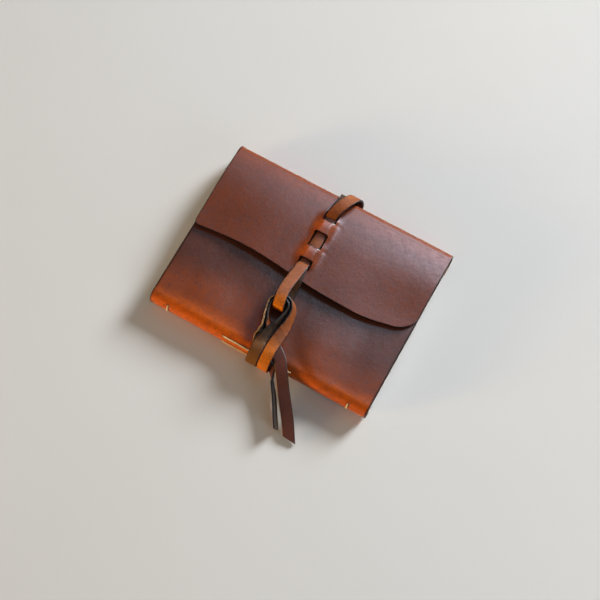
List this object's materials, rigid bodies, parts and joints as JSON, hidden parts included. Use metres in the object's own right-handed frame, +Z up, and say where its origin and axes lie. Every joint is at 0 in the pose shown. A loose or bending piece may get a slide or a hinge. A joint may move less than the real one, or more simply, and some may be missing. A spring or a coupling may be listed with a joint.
{
  "type": "leather notebook cover",
  "caption": "Soft leather cover wrapped round a sewn pocket notebook, with a wavy-edged flap held shut by a doubled leather lace hitched through its own bight.",
  "frame": {"origin": "on the table, under the middle of the closed cover", "axes": "+X along the spine towards the tail of the pages, +Y from the spine to the fore-edge fold, +Z up out of the front cover"},
  "size_m": [0.141, 0.143, 0.0232],
  "materials": {
    "cover_leather": "satin",
    "lace_grain": "satin",
    "lace_flesh": "matte",
    "paper": "matte",
    "thread": "waxed"
  },
  "bodies": {
    "back": {"back_cover": "cover_leather", "spine": "cover_leather", "front_bend": "cover_leather", "fore_edge_lower_bend": "cover_leather", "lower_signature": "paper", "upper_signature": "paper", "binding_thread": "thread", "lace_back_right": "lace_grain", "lace_back_left": "lace_flesh", "lace_spine_right": "lace_grain", "lace_spine_left": "lace_flesh", "lace_tail_short": "lace_grain", "lace_tail_long": "lace_grain"},
    "fore_edge": {"fore_edge_strip": "cover_leather", "fore_edge_upper_bend": "cover_leather", "lace_arch_outer": "lace_grain", "lace_arch_inner": "lace_flesh"},
    "flap": {"flap": "cover_leather", "lace_weave_outer": "lace_grain", "lace_weave_inner": "lace_flesh", "lace_bight": "lace_grain"},
    "front": {"front_cover": "cover_leather", "lace_hitch_outer": "lace_grain", "lace_hitch_inner": "lace_flesh"},
    "leaf": {"first_leaf": "paper"}
  },
  "joints": [
    {"name": "fore_edge_fold", "type": "hinge", "parent": "back", "child": "fore_edge", "pos_m": [0, 0.05169, 0.00321], "axis": [-1, 0, 0], "range_deg": [0, 85], "deforming": ["fore_edge_lower_bend", "lace_arch_outer", "lace_arch_inner"]},
    {"name": "flap_fold", "type": "hinge", "parent": "fore_edge", "child": "flap", "pos_m": [0, 0.05169, 0.01463], "axis": [-1, 0, 0], "range_deg": [0, 85], "deforming": ["fore_edge_upper_bend", "lace_bight"]},
    {"name": "front_open", "type": "hinge", "parent": "back", "child": "front", "pos_m": [0, -0.04949, 0.01114], "axis": [1, 0, 0], "range_deg": [0, 22], "deforming": ["front_bend", "lace_spine_right", "lace_spine_left", "lace_tail_short", "lace_tail_long"]},
    {"name": "leaf_turn", "type": "hinge", "parent": "back", "child": "leaf", "pos_m": [0, -0.0475, 0.01051], "axis": [1, 0, 0], "range_deg": [0, 18]}
  ],
  "couplings": [
    {"joint": "flap_fold", "follows": "fore_edge_fold", "ratio": 1},
    {"joint": "front_open", "follows": "fore_edge_fold", "ratio": 0.25},
    {"joint": "leaf_turn", "follows": "fore_edge_fold", "ratio": 0.2}
  ]
}
